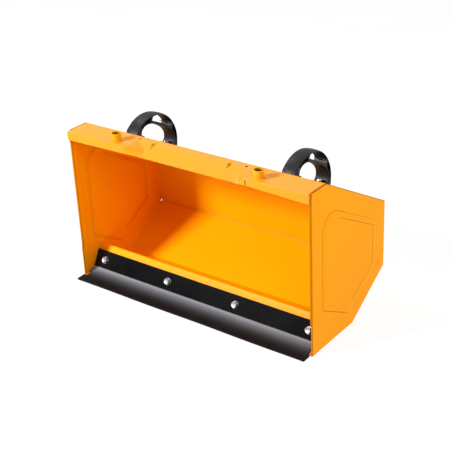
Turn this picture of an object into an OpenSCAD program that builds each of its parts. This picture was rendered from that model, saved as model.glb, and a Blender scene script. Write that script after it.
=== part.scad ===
// Debris collection bucket for a walk-behind sweeper or light utility machine.
// Units are millimetres. +Z is up, -Y is the open front, +X runs across the width.
// The origin is the centre of the rectangle the part covers on the ground.

/* [Bucket body] */
// overall width over the two side plates
body_w = 620; // [500:5:720]
// depth of the side plates, from front edge to back wall
body_d = 280; // [270:1:310]
// height of the rail's top face above the ground
body_h = 357; // [340:1:390]
// height of the back wall's top edge
back_top_z = 230; // [215:1:240]
// height at which the back wall bends into the lower slope
back_low_z = 79; // [70:1:90]
// length of the flat base, measured from the side plates' front edge
base_d = 153; // [140:1:165]
// thickness of the side plates
side_t = 3; // [2:0.5:4]
// thickness of the bent body sheet
sheet_t = 2; // [1.5:0.25:3]
// inside radius of the body sheet's bends
bend_r = 5; // [3:0.5:8]

/* [Pressed side panels] */
// height of the pressed panel above the plate
panel_rise = 1.2; // [0.6:0.2:1.6]
// distance of the panel from the plate's front edge
panel_front = 40; // [34:1:46]
// distance of the panel from the plate's back edge
panel_back = 37; // [33:1:42]
// height of the panel's upper front corner, before rounding
panel_top = 314; // [306:1:318]
// radius of the panel's upper front corner
panel_r = 36; // [24:1:42]
// depth of the relief in the plate's upper front corner
corner_relief = 4; // [2:0.5:5]
// height of that relief, below the rail's top face
corner_relief_h = 14; // [10:1:20]
// width of the folded hem on the plate's front edge
hem_w = 16; // [10:1:20]
// length of the small bottom tab at each lower front corner
tab_d = 27; // [20:1:28]
// width of the small bottom tab
tab_w = 10; // [8:1:12]

/* [Top rail] */
// how far the rail's front face stands ahead of the side plates
rail_ahead = 6.6; // [4:0.2:8]
// depth of the rail's top face
rail_d = 61; // [55:1:66]
// thickness of the rail sheet
rail_t = 2.5; // [2:0.25:3]
// height of the rail's front flange
rail_lip = 19; // [16:0.5:24]
// X position at which the front flange starts, beyond a cut-away at the left end
flange_left_x = -248; // [-260:1:-235]
// height of the rail's rear flange
rail_back_lip = 18; // [12:1:24]
// distance of the centre ridge behind the side plates' front edge
ridge_y = 34; // [30:1:38]
// distance of the folded face's lower edge behind the side plates' front edge
fold_low_y = 1.5; // [0:0.5:4]
// X position of the left relief hole
relief_left_x = -142; // [-150:1:-140]
// X position of the right relief hole
relief_right_x = 135; // [128:1:138]
// distance of the relief holes behind the side plates' front edge
relief_y = 43; // [40:1:46]
// diameter of the relief holes
relief_dia = 6; // [4:0.5:7]
// X position of the flat top's inner corner on the left
left_corner_x = -139; // [-146:1:-136]
// X position of the flat top's inner corner on the right
right_corner_x = 156; // [150:1:158]
// X position of the left folded facet's lowest point
left_facet_x = -110; // [-125:1:-105]
// X position of the right folded facet's lowest point
right_facet_x = 136; // [128:1:140]
// how far the flange's lower edge rises beside the left facet
taper_left = 2.5; // [0:0.5:4]
// how far the flange's lower edge rises beside the right facet
taper_right = 4; // [0:0.5:5]
// X position of the short slit in the front flange
slit_x = 165; // [163:0.5:167]
// distance of each ridge dimple from the middle
dimple_x = 99; // [80:1:110]
// diameter of the ridge dimples
dimple_dia = 9; // [6:0.5:12]

/* [Socket tubes] */
// X position of the left socket tube
socket_left_x = -178; // [-185:1:-172]
// X position of the right socket tube
socket_right_x = 186; // [178:1:190]
// distance of the tube centres behind the side plates' front edge
socket_y = 10; // [9:0.5:14]
// outside diameter of the tubes
socket_od = 22; // [20:0.5:28]
// bore diameter of the tubes
socket_bore = 17.5; // [15:0.5:20]
// height of the tubes above the rail
socket_rise = 18; // [14:1:24]
// length of the tubes below the rail's top face
socket_drop = 16; // [10:1:18]
// leg length of the weld bead around each tube
bead_leg = 3; // [2:0.5:3.5]

/* [Front ramp and rubber lip] */
// thickness of the ramp sheet
ramp_t = 3; // [2:0.5:4]
// angle of the ramp above the ground, in degrees
ramp_angle = 61.5; // [58:0.5:65]
// outside radius of the ramp's top bend
ramp_r = 4; // [3.5:0.5:5]
// thickness of the rubber lip
lip_t = 4; // [3:0.5:5]
// how far the lip reaches ahead of the side plates
lip_ahead = 25; // [15:1:40]
// X position of the lip's left end
lip_left_x = -309; // [-310:0.5:-306]
// X position of the lip's right end
lip_right_x = 305; // [302:0.5:309]
// height of the lip's top edge
lip_top_z = 48.4; // [44:0.2:52]
// height of the crease in the lip
lip_crease_z = 12.7; // [11:0.1:15]
// distance of each inner lip bolt from the middle
lip_bolt_in_x = 92; // [80:1:105]
// distance of each outer lip bolt from the middle
lip_bolt_out_x = 277; // [250:1:285]
// thread diameter of the lip bolts
lip_bolt_dia = 8; // [6:1:8]

/* [Carrying handles] */
// distance of each handle from the middle
handle_x = 203.5; // [180:0.5:230]
// distance of the handles' middle down the roof from the rail
handle_s = 107.5; // [95:0.5:120]
// half length of the handle at its feet
handle_half = 74; // [66:0.5:80]
// height of the handle above the roof
handle_h = 63; // [54:0.5:66]
// width of the handle's outer band
handle_w = 33; // [32:1:40]
// width of the handle's inner band
handle_in_w = 32; // [24:1:32]
// half length of the finger opening
grip_half = 59.5; // [54:0.5:62]
// height of the finger opening
grip_h = 35; // [32:0.5:40]
// thickness of the handle's bands
band_t = 3; // [3:0.5:5]
// thickness of the grip bar above the finger opening
grip_bar_t = 6.5; // [6:0.5:10]
// thickness of the web between the bands
web_t = 5; // [4:0.5:8]
// height of the handle's feet
foot_h = 11; // [9:0.5:12]
// distance of each handle bolt from the handle's middle
handle_bolt_s = 51; // [49:0.5:52]
// thread diameter of the handle bolts
handle_bolt_dia = 6; // [5:1:6]

/* [Hidden] */
$fn = 64;
half_w = body_w / 2;
inner_x = half_w - side_t;
y_mid = (body_d - lip_ahead) / 2;
rail_back_y = rail_d - rail_ahead;
roof_angle = atan2(body_h - back_top_z, body_d - rail_back_y);
rail_low_z = body_h - rail_lip;
relief_gap = 4;
clear = 0.05;
over = 1;

// line of the lip's outer face and of the ramp's front face
ramp_dir = [cos(ramp_angle), sin(ramp_angle)];
ramp_out = [-sin(ramp_angle), cos(ramp_angle)];
crease = [30, lip_crease_z];
lip_top = crease + ramp_dir * (lip_top_z - lip_crease_z) / sin(ramp_angle);
ramp_face = crease - ramp_out * lip_t;
floor_front = ramp_face + ramp_dir * (sheet_t - ramp_face[1]) / sin(ramp_angle);
ramp_len = 71.6;
rear_leg_angle = 73;
ramp_peak = floor_front + ramp_dir * ramp_len;
ramp_rear = ramp_peak + [(ramp_peak[1] - sheet_t) / tan(rear_leg_angle), sheet_t - ramp_peak[1]];
lip_bolt_at = crease + ramp_dir * 19.6;
lip_bolt_xs = [-lip_bolt_out_x, -lip_bolt_in_x, lip_bolt_in_x, lip_bolt_out_x];
lip_hole = lip_bolt_dia + 1;
handle_hole = handle_bolt_dia + 0.6;
tab_clear_y = 16;

// ---------- shared helpers ----------

// moves a piece from side plate coordinates to the part's own origin
module in_frame() {
    translate([0, -y_mid, 0]) children();
}

// extrudes a profile drawn as [y, z] along X, between two X positions
module across(x0, x1) {
    translate([x0, 0, 0]) rotate([90, 0, 90]) linear_extrude(x1 - x0) children();
}

function unit(v) = v / norm(v);
function left_of(v) = [-v[1], v[0]];

// mitred offset of one point of an open line, distance d to its left
function mitre(p, i, d) =
    let (a = unit(p[max(i, 1)] - p[max(i, 1) - 1]))
    let (b = unit(p[min(i + 1, len(p) - 1)] - p[min(i, len(p) - 2)]))
    p[i] + (left_of(a) + left_of(b)) * d / (1 + a * b);

// closed outline of a sheet: a line and its offset
function sheet(p, d) = concat(p, [for (i = [len(p) - 1:-1:0]) mitre(p, i, d)]);

// points of a rounded corner at b, between a and c
function corner(a, b, c, r, n) =
    let (u = unit(a - b))
    let (v = unit(c - b))
    let (half = acos(u * v) / 2)
    let (mid = b + unit(u + v) * r / sin(half))
    let (p0 = b + u * r / tan(half) - mid)
    let (p1 = b + v * r / tan(half) - mid)
    let (turn = 180 - 2 * half)
    let (dir = p0[0] * p1[1] - p0[1] * p1[0] > 0 ? 1 : -1)
    [for (i = [0:n]) let (w = dir * turn * i / n)
        mid + [p0[0] * cos(w) - p0[1] * sin(w), p0[0] * sin(w) + p0[1] * cos(w)]];

// hexagon prism across flats f
module hexagon(f, h) {
    cylinder(d = f / cos(30), h = h, $fn = 6);
}

// ---------- side plates ----------

function plate_outline() = [
    [0, 0], [base_d, 0], [body_d, back_low_z], [body_d, back_top_z], [rail_back_y, body_h],
    [corner_relief, body_h], [corner_relief, body_h - corner_relief_h + corner_relief],
    [0, body_h - corner_relief_h]
];

panel_end_y = body_d - panel_back;
panel_fall = 0.55;
panel_front_z = 86;
panel_back_z = 99;
panel_foot = [135, 33.5];

// pressed panel, drawn as [y, z], with its corners rounded
function panel_outline() = let (
        a = [panel_front, panel_front_z],
        b = [panel_front, panel_top],
        c = [panel_end_y, panel_top - (panel_end_y - panel_front) * panel_fall],
        d = [panel_end_y, panel_back_z]
    )
    concat(
        corner(panel_foot, a, b, 10, 3),
        corner(a, b, c, panel_r, 8),
        corner(b, c, d, 6, 3),
        corner(c, d, panel_foot, 8, 3),
        corner(d, panel_foot, a, 5, 3)
    );

// right-hand plate; the left one is its mirror image
module side_plate() {
    difference() {
        union() {
            across(inner_x, half_w) polygon(plate_outline());
            across(half_w, half_w + panel_rise) polygon(panel_outline());
            translate([inner_x - side_t, 0, 72]) cube([side_t, hem_w, body_h - rail_lip - 72 - 6]);
            translate([half_w - tab_w, 0, 0]) cube([tab_w, tab_d, 2.5]);
        }
        across(inner_x - over, inner_x + panel_rise) polygon(panel_outline());
    }
}

module side_plate_right() {
    color([0.93, 0.56, 0.07]) in_frame() side_plate();
}

module side_plate_left() {
    color([0.93, 0.56, 0.07]) in_frame() mirror([1, 0, 0]) side_plate();
}

// ---------- body sheet: roof, back wall, lower slope and floor in one bent sheet ----------

function body_line() = concat(
    [[floor_front[0], 0]],
    corner([floor_front[0], 0], [base_d, 0], [body_d, back_low_z], bend_r + sheet_t, 4),
    corner([base_d, 0], [body_d, back_low_z], [body_d, back_top_z], bend_r + sheet_t, 4),
    corner([body_d, back_low_z], [body_d, back_top_z], [rail_back_y, body_h], bend_r + sheet_t, 4),
    [[rail_back_y, body_h]]
);

// frame on the roof: X across, Y down the slope, Z out of the roof
module on_roof(x) {
    translate([x, rail_back_y, body_h]) rotate([-roof_angle, 0, 0]) children();
}

module body_sheet() {
    color([0.95, 0.55, 0.05]) in_frame() difference() {
        across(-inner_x, inner_x) polygon(sheet(body_line(), sheet_t));
        translate([-half_w, rail_back_y - 10, body_h - 10]) cube([body_w, 10, 20]);
        for (x = [-handle_x, handle_x], s = [-handle_bolt_s, handle_bolt_s])
            on_roof(x) translate([0, handle_s + s, -10]) cylinder(d = handle_hole, h = 20);
        for (x = [-inner_x, inner_x])
            translate([x - relief_gap, body_d - relief_gap - 2, back_low_z - relief_gap])
                cube([2 * relief_gap, 2 * relief_gap, 2 * relief_gap]);
    }
}

// ---------- top rail ----------

// flat end section with front flange
function rail_end_line() = [
    [-rail_ahead, rail_low_z], [-rail_ahead, body_h], [rail_back_y, body_h],
    [rail_back_y, body_h - rail_back_lip]
];

// centre section, folded down towards the front
function rail_mid_line() = [
    [fold_low_y, rail_low_z], [ridge_y, body_h], [rail_back_y, body_h],
    [rail_back_y, body_h - rail_back_lip]
];

fold_angle = atan2(rail_lip, ridge_y - fold_low_y);
fold_out = [-sin(fold_angle), cos(fold_angle)];
facet_y = ridge_y / 2;
facet_z = body_h - (ridge_y - facet_y) * tan(fold_angle);
corner_y = -2;
flange_gap = 7;
taper_end = 296;

// centre of the sheet below a point of the flat top, the flange or the folded face
function in_top(x, y) = [x, y, body_h - rail_t / 2];
function in_flange(x, z) = [x, -rail_ahead + rail_t / 2, z];
function in_fold(x, y, z) = [x, y - fold_out[0] * rail_t / 2, z - fold_out[1] * rail_t / 2];

// plan of the folded face, between the lowest points of the two facets
module fold_zone() {
    translate([0, 0, rail_low_z - 20]) linear_extrude(rail_lip + 40) polygon([
        [relief_left_x + 1, ridge_y], [left_facet_x, facet_y], [left_facet_x, -rail_ahead - over],
        [right_facet_x + 10, -rail_ahead - over], [right_facet_x, facet_y],
        [relief_right_x + 1, ridge_y]
    ]);
}

// plan of everything taken out of the flat end section
module notch_zone() {
    translate([0, 0, rail_low_z - 20]) linear_extrude(rail_lip + 40) polygon([
        [relief_left_x + 1, ridge_y], [left_corner_x, corner_y],
        [left_corner_x - flange_gap, -rail_ahead - over],
        [right_corner_x + flange_gap, -rail_ahead - over], [right_corner_x, corner_y],
        [relief_right_x + 1, ridge_y]
    ]);
}

// skin of sheet thickness through a set of points
module skin(points) {
    hull() for (p = points) translate(p) sphere(d = rail_t, $fn = 16);
}

// folded facet beside a relief hole, and the blend below it into the flange
module facet(relief_x, corner_x, facet_x, low_x, end_x) {
    skin([in_top(relief_x, ridge_y), in_top(corner_x, corner_y), in_fold(facet_x, facet_y, facet_z)]);
    skin([in_top(corner_x, corner_y), in_top(end_x, -rail_ahead + rail_t / 2),
        in_flange(end_x, rail_low_z + rail_t / 2),
        in_fold(low_x, fold_low_y + 1, rail_low_z + 1.6), in_fold(facet_x, facet_y, facet_z)]);
}

module rail_solid() {
    difference() {
        union() {
            across(-inner_x, inner_x) polygon(sheet(rail_end_line(), -rail_t));
            translate([inner_x - over, -rail_ahead, rail_low_z])
                cube([side_t + over, rail_t, rail_lip]);
        }
        notch_zone();
    }
    intersection() {
        across(-inner_x, inner_x) polygon(sheet(rail_mid_line(), -rail_t));
        fold_zone();
    }
    facet(relief_left_x + 1, left_corner_x, left_facet_x, left_facet_x,
        left_corner_x - flange_gap);
    facet(relief_right_x + 1, right_corner_x, right_facet_x, right_facet_x + 10,
        right_corner_x + flange_gap);
}

// strip taken off the flange's lower edge, growing from the rail's end towards its facet
module flange_taper(facet_x, full_x, rise) {
    translate([0, fold_low_y + 3, rail_low_z]) rotate([90, 0, 0])
        linear_extrude(rail_ahead + fold_low_y + 4)
            polygon([[facet_x, -over], [facet_x, 0], [full_x, rise],
                [sign(full_x) * taper_end, 0], [sign(full_x) * taper_end, -over]]);
}

module top_rail() {
    color([0.97, 0.68, 0.2]) in_frame() difference() {
        rail_solid();
        flange_taper(left_facet_x, left_corner_x - flange_gap, taper_left);
        flange_taper(right_facet_x, right_corner_x + flange_gap + 8, taper_right);
        for (x = [relief_left_x, relief_right_x])
            translate([x, relief_y, body_h - 10]) cylinder(d = relief_dia, h = 20);
        for (x = [socket_left_x, socket_right_x])
            translate([x, socket_y, body_h - 10]) cylinder(d = socket_od, h = 20);
        for (x = [-dimple_x, dimple_x])
            translate([x, ridge_y - 12, body_h + 5]) rotate([-75, 0, 0])
                translate([0, 2.2, 0]) cylinder(d = dimple_dia, h = 30);
        translate([slit_x - 0.6, -rail_ahead - over, rail_low_z - over])
            cube([1.2, rail_t + 2, rail_lip - 4]);
        translate([-half_w, -rail_ahead - over, rail_low_z - over])
            cube([half_w + flange_left_x, rail_t + over, rail_lip - rail_t + over]);
    }
}

// ---------- socket tubes and their weld beads ----------

module socket_tube(x) {
    translate([x, socket_y, body_h - socket_drop]) difference() {
        cylinder(d = socket_od, h = socket_rise + socket_drop);
        translate([0, 0, -over]) cylinder(d = socket_bore, h = socket_rise + socket_drop + 2 * over);
    }
}

module socket_bead(x) {
    translate([x, socket_y, body_h]) rotate_extrude()
        polygon([[socket_od / 2, 0], [socket_od / 2 + bead_leg, 0],
            [socket_od / 2 + bead_leg * 0.75, bead_leg * 0.5], [socket_od / 2, bead_leg]]);
}

module socket_tube_left() {
    color([0.96, 0.62, 0.1]) in_frame() socket_tube(socket_left_x);
}

module socket_tube_right() {
    color([0.96, 0.62, 0.1]) in_frame() socket_tube(socket_right_x);
}

module socket_bead_left() {
    color([0.93, 0.6, 0.12]) in_frame() socket_bead(socket_left_x);
}

module socket_bead_right() {
    color([0.93, 0.6, 0.12]) in_frame() socket_bead(socket_right_x);
}

// ---------- front ramp and rubber lip ----------

function ramp_line() = concat(
    [floor_front], corner(floor_front, ramp_peak, ramp_rear, ramp_r, 6), [ramp_rear]
);

// frame on the ramp: X across, Z out of the ramp's front face, origin at the bolt line
module on_ramp(x) {
    translate([x, lip_bolt_at[0], lip_bolt_at[1]]) rotate([90 - ramp_angle, 0, 0])
        rotate([90, 0, 0]) children();
}

module front_ramp() {
    color([0.97, 0.62, 0.08]) in_frame() difference() {
        across(-inner_x, inner_x) polygon(sheet(ramp_line(), -ramp_t));
        for (x = lip_bolt_xs)
            on_ramp(x) translate([0, 0, -15]) cylinder(d = lip_hole, h = 20);
    }
}

// top face of the lip, from its front edge to its top edge
function lip_upper() = [
    [-lip_ahead, lip_t], [-lip_ahead + 16, lip_t + 0.1], [0, lip_t + 0.9], [13, lip_t + 2.7],
    [23, lip_t + 5.3], crease, lip_top
];

function lip_lower() = [
    lip_top - ramp_out * lip_t, floor_front + ramp_dir * 8, [20.5, 5.2], [10.5, 2.2], [-1, 0.6],
    [-lip_ahead + 16, 0], [-lip_ahead, 0]
];

module rubber_lip() {
    color([0.08, 0.08, 0.085]) in_frame() difference() {
        across(lip_left_x, lip_right_x) polygon(concat(lip_upper(), lip_lower()));
        for (x = [-half_w - over, half_w - tab_w - 0.5])
            translate([x, -3, -over]) cube([tab_w + over + 0.5, tab_clear_y, crease[1] + over]);
        for (x = [-half_w - over, inner_x - 1])
            translate([x, -3, 0]) cube([side_t + 1 + over, 80, 80]);
        for (x = lip_bolt_xs)
            on_ramp(x) translate([0, 0, -15]) cylinder(d = lip_hole, h = 20);
    }
}

// ---------- fasteners ----------

// hex bolt standing on z = 0, shank pointing down
module hex_bolt(d, flats, head_h, shank) {
    hexagon(flats, head_h);
    translate([0, 0, -shank]) cylinder(d = d - 2 * clear, h = shank + over / 2);
}

module plain_washer(d, od, h) {
    difference() {
        cylinder(d = od, h = h);
        translate([0, 0, -over]) cylinder(d = d + 0.4, h = h + 2 * over);
    }
}

module hex_nut(d, flats, h) {
    difference() {
        hexagon(flats, h);
        translate([0, 0, -over]) cylinder(d = d + 2 * clear, h = h + 2 * over);
    }
}

lip_washer_h = 1.6;
lip_washer_od = 17;
lip_head_flats = 13;
lip_head_h = 5.3;
lip_nut_h = 6.5;
handle_tab_h = 3;
handle_tab_len = 16;
handle_tab_w = 26;
handle_washer_h = 1.4;
handle_washer_od = 12;
handle_head_flats = 10;
handle_head_h = 4;
handle_nut_h = 5;

module lip_bolts() {
    color([0.75, 0.76, 0.78]) in_frame() for (x = lip_bolt_xs)
        on_ramp(x) translate([0, 0, lip_washer_h])
            hex_bolt(lip_bolt_dia, lip_head_flats, lip_head_h,
                lip_washer_h + lip_t + ramp_t + lip_nut_h + 2);
}

module lip_washers() {
    color([0.7, 0.71, 0.73]) in_frame() for (x = lip_bolt_xs)
        on_ramp(x) plain_washer(lip_bolt_dia, lip_washer_od, lip_washer_h);
}

module lip_nuts() {
    color([0.72, 0.73, 0.75]) in_frame() for (x = lip_bolt_xs)
        on_ramp(x) translate([0, 0, -lip_t - ramp_t - lip_nut_h])
            hex_nut(lip_bolt_dia, lip_head_flats, lip_nut_h);
}

module at_handle_bolts() {
    for (x = [-handle_x, handle_x], s = [-handle_bolt_s, handle_bolt_s])
        on_roof(x) translate([0, handle_s + s, 0]) children();
}

module handle_bolts() {
    color([0.75, 0.76, 0.78]) in_frame() at_handle_bolts()
        translate([0, 0, handle_tab_h + handle_washer_h])
            hex_bolt(handle_bolt_dia, handle_head_flats, handle_head_h,
                handle_tab_h + handle_washer_h + sheet_t + handle_nut_h + 2);
}

module handle_washers() {
    color([0.7, 0.71, 0.73]) in_frame() at_handle_bolts()
        translate([0, 0, handle_tab_h])
            plain_washer(handle_bolt_dia, handle_washer_od, handle_washer_h);
}

module handle_nuts() {
    color([0.72, 0.73, 0.75]) in_frame() at_handle_bolts()
        translate([0, 0, -sheet_t - handle_nut_h])
            hex_nut(handle_bolt_dia, handle_head_flats, handle_nut_h);
}

// ---------- carrying handles ----------

bow_power = 1.85;
grip_power = 3;
pocket_x = 40;
pocket_rib = 5;
pocket_low = 17;
tongue_front = 12;
tongue_n = 46.5;
tongue_t = 1.6;
tongue_w = 8;
foot_in = 58.25;
foot_out = 75.25;
foot_wide = 0.6;
foot_taper = 0.9;
foot_bevel = 2.6;

// upper half of a rounded arch of half length a, height b and fullness p
function arch(a, b, p) = [for (w = [0:5:180])
    [sign(cos(w)) * a * pow(abs(cos(w)), 2 / p), b * pow(sin(w), 2 / p)]];

module bow_profile() {
    difference() {
        polygon(arch(handle_half, handle_h, bow_power));
        translate([0, -over]) polygon(arch(grip_half, grip_h + over, grip_power));
    }
}

// space between the outer and the inner band
module pocket_zone() {
    difference() {
        polygon(arch(handle_half - band_t, handle_h - band_t, bow_power));
        polygon(arch(grip_half + band_t, grip_h + band_t, grip_power));
    }
}

module pocket_plan() {
    intersection() {
        pocket_zone();
        union() {
            translate([-100, pocket_low]) square([100 - pocket_x, 100]);
            difference() {
                translate([-pocket_x + pocket_rib, 0])
                    square([2 * (pocket_x - pocket_rib), 100]);
                polygon(arch(grip_half + grip_bar_t, grip_h + grip_bar_t, grip_power));
            }
            translate([pocket_x, pocket_low]) square([100 - pocket_x, 100]);
        }
    }
}

// the crossbar is open from side to side between its two cross ribs
module window_plan() {
    difference() {
        intersection() {
            pocket_zone();
            translate([-pocket_x + pocket_rib, 0]) square([2 * (pocket_x - pocket_rib), 100]);
        }
        polygon(arch(grip_half + grip_bar_t, grip_h + grip_bar_t, grip_power));
    }
}

// side view of the wedge-shaped foot at one end of the handle
module foot_plan() {
    polygon([
        [foot_in, 0], [foot_out, 0], [foot_out - foot_taper, foot_h / 2],
        [foot_out - 3 * foot_taper, foot_h], [foot_in + foot_bevel, foot_h],
        [foot_in, foot_h - foot_bevel]
    ]);
}

// space inside which the narrower inner band is kept
module grip_side_plan() {
    intersection() {
        polygon(arch(grip_half + band_t, grip_h + band_t, grip_power));
        translate([-100, foot_h]) square([200, 100]);
    }
}

// extrudes a [y, z] plan across the handle, centred, width w
module bow_slab(w) {
    rotate([90, 0, 90]) translate([0, 0, -w / 2]) linear_extrude(w) children();
}

module handle() {
    difference() {
        union() {
            bow_slab(handle_w) bow_profile();
            for (side = [-1, 1]) {
                bow_slab(handle_w + 2 * foot_wide) scale([side, 1]) foot_plan();
                translate([-handle_tab_w / 2, side * handle_bolt_s - handle_tab_len / 2, 0])
                    cube([handle_tab_w, handle_tab_len, handle_tab_h]);
            }
        }
        for (side = [-1, 1]) {
            translate([side * (web_t / 2 + 20), 0, 0]) bow_slab(40) pocket_plan();
            translate([side * (handle_in_w / 2 + 20), 0, 0]) bow_slab(40) grip_side_plan();
            translate([0, side * handle_bolt_s, -over]) cylinder(d = handle_hole, h = 20);
        }
        bow_slab(web_t + 2) window_plan();
    }
    translate([-tongue_w / 2, tongue_front, tongue_n])
        cube([tongue_w, pocket_x - pocket_rib - tongue_front + over, tongue_t]);
}

module handle_left() {
    color([0.1, 0.1, 0.11]) in_frame() on_roof(-handle_x) translate([0, handle_s, 0]) handle();
}

module handle_right() {
    color([0.1, 0.1, 0.11]) in_frame() on_roof(handle_x) translate([0, handle_s, 0]) handle();
}

side_plate_left();
side_plate_right();
body_sheet();
top_rail();
front_ramp();
rubber_lip();
lip_bolts();
lip_washers();
lip_nuts();
socket_tube_left();
socket_tube_right();
socket_bead_left();
socket_bead_right();
handle_left();
handle_right();
handle_bolts();
handle_washers();
handle_nuts();
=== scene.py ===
"""Debris collection bucket: the visual model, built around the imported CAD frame.

All lengths are metres. "Plate coordinates" (py, pz) are millimetres in the side plates'
own plane: py from their front edge towards the back, pz up from the ground.
"""

import math
import random

import bmesh
import bpy
import numpy as np
from mathutils import Matrix, Quaternion, Vector


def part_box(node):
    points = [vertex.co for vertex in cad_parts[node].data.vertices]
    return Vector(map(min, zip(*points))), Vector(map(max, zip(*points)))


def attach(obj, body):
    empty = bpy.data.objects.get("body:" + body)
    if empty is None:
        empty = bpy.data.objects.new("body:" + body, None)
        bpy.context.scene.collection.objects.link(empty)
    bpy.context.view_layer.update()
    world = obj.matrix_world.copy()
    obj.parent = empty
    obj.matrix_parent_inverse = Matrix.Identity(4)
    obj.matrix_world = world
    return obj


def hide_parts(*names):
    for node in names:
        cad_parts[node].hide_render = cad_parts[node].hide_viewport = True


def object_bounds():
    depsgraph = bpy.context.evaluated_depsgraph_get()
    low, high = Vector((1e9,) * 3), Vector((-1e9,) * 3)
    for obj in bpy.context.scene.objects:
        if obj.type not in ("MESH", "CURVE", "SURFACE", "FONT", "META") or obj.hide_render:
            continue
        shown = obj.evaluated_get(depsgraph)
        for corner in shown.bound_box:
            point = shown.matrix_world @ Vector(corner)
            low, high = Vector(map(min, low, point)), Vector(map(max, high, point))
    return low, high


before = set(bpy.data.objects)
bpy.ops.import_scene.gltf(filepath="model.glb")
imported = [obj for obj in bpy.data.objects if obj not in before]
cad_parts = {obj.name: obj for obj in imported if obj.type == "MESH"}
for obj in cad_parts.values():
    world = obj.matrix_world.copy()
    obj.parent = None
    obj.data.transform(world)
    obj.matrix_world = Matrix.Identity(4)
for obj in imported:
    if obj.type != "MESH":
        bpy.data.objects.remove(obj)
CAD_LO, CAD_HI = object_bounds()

random.seed(7)
scene = bpy.context.scene
MM = 0.001

# ---- places from the frame

PLATE_LO, PLATE_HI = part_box("side_plate_right")
Y0 = PLATE_LO[1]
INNER_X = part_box("body_sheet")[1][0]
SIDE_T = 3 * MM
HALF_W = INNER_X + SIDE_T
RAIL_FRONT = (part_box("top_rail")[0][1] - Y0) / MM
TOP_Z = PLATE_HI[2] / MM
BODY_D = (PLATE_HI[1] - PLATE_LO[1]) / MM
BASE_D = 153.0
BACK_LOW_Z, BACK_TOP_Z = 79.0, 230.0
RAIL_BACK = 54.4
ROOF = math.atan2(TOP_Z - BACK_TOP_Z, BODY_D - RAIL_BACK)
SHEET_T, RAIL_T, RAMP_T, LIP_T = 2.0, 2.5, 3.0, 4.0


def at(x, py, pz):
    """Point from X in metres and plate coordinates."""
    return Vector((x, Y0 + py * MM, pz * MM))


# ---- outline helpers


def unit(v):
    n = math.hypot(v[0], v[1])
    return (v[0] / n, v[1] / n)


def heading(a, b):
    """Unit vector from a towards b."""
    return unit((b[0] - a[0], b[1] - a[1]))


def clamp(t):
    return max(0.0, min(1.0, t))


def divide(a, b, n):
    """The n points that cut the step from a to b into equal parts, b last."""
    return [(a[0] + (b[0] - a[0]) * i / n, a[1] + (b[1] - a[1]) * i / n) for i in range(1, n + 1)]


def fillet(points, radii, steps):
    """Open line with its inner corners rounded; every corner gives steps + 1 points."""
    out = [tuple(points[0])]
    for i in range(1, len(points) - 1):
        a, b, c = points[i - 1], points[i], points[i + 1]
        la, lc = math.dist(a, b), math.dist(b, c)
        u, v = heading(b, a), heading(b, c)
        half = math.acos(max(-1.0, min(1.0, u[0] * v[0] + u[1] * v[1]))) / 2
        if half > math.pi / 2 - 0.004:
            cut = min(la, lc) * 0.3
            for k in range(steps + 1):
                w = 2 * k / steps - 1
                d = v if w > 0 else u
                out.append((b[0] + d[0] * cut * abs(w), b[1] + d[1] * cut * abs(w)))
            continue
        cut = min(radii[i - 1] / math.tan(half), 0.45 * la, 0.45 * lc)
        r = cut * math.tan(half)
        m = unit((u[0] + v[0], u[1] + v[1]))
        cx, cy = b[0] + m[0] * r / math.sin(half), b[1] + m[1] * r / math.sin(half)
        p0 = (b[0] + u[0] * cut - cx, b[1] + u[1] * cut - cy)
        p1 = (b[0] + v[0] * cut - cx, b[1] + v[1] * cut - cy)
        turn = math.pi - 2 * half
        if p0[0] * p1[1] - p0[1] * p1[0] < 0:
            turn = -turn
        for k in range(steps + 1):
            w = turn * k / steps
            c, s = math.cos(w), math.sin(w)
            out.append((cx + p0[0] * c - p0[1] * s, cy + p0[0] * s + p0[1] * c))
    out.append(tuple(points[-1]))
    return out


def offset(line, d):
    """Open line moved by d to its left, with mitred corners."""
    out = []
    n = len(line)
    for i in range(n):
        h = max(i, 1)
        j = min(i + 1, n - 1)
        a, b = heading(line[h - 1], line[h]), heading(line[j - 1], line[j])
        nx, ny = -a[1] - b[1], a[0] + b[0]
        k = d / (1 + a[0] * b[0] + a[1] * b[1])
        out.append((line[i][0] + nx * k, line[i][1] + ny * k))
    return out


def sheet_outline(line, t):
    return line + offset(line, t)[::-1]


# ---- mesh helpers


def new_object(name, data):
    obj = bpy.data.objects.new(name, data)
    scene.collection.objects.link(obj)
    return obj


def shade_smooth(mesh):
    for p in mesh.polygons:
        p.use_smooth = True


def even_normals(obj, keep_sharp=False):
    m = obj.modifiers.new("normals", "WEIGHTED_NORMAL")
    m.weight = 60
    m.keep_sharp = keep_sharp


def from_mm(obj, x, py, pz):
    """Moves a mesh drawn in millimetres to a place in X (mm) and plate coordinates."""
    obj.data.transform(Matrix.Translation(at(x * MM, py, pz)) @ Matrix.Scale(MM, 4))


def band_faces(a, b, n):
    """Quads between two closed rings of n points that start at the indices a and b."""
    return [(a + i, a + (i + 1) % n, b + (i + 1) % n, b + i) for i in range(n)]


def loft_faces(rows, n):
    """Faces of a solid made of rows of closed rings, with both ends capped."""
    faces = [f for k in range(rows - 1) for f in band_faces(k * n, (k + 1) * n, n)]
    faces.append(tuple(range(n))[::-1])
    faces.append(tuple((rows - 1) * n + i for i in range(n)))
    return faces


def make(name, verts, faces):
    mesh = bpy.data.meshes.new(name)
    mesh.from_pydata([tuple(v) for v in verts], [], faces)
    mesh.validate()
    bm = bmesh.new()
    bm.from_mesh(mesh)
    bmesh.ops.recalc_face_normals(bm, faces=bm.faces)
    bm.to_mesh(mesh)
    bm.free()
    shade_smooth(mesh)
    return new_object(name, mesh)


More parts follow.
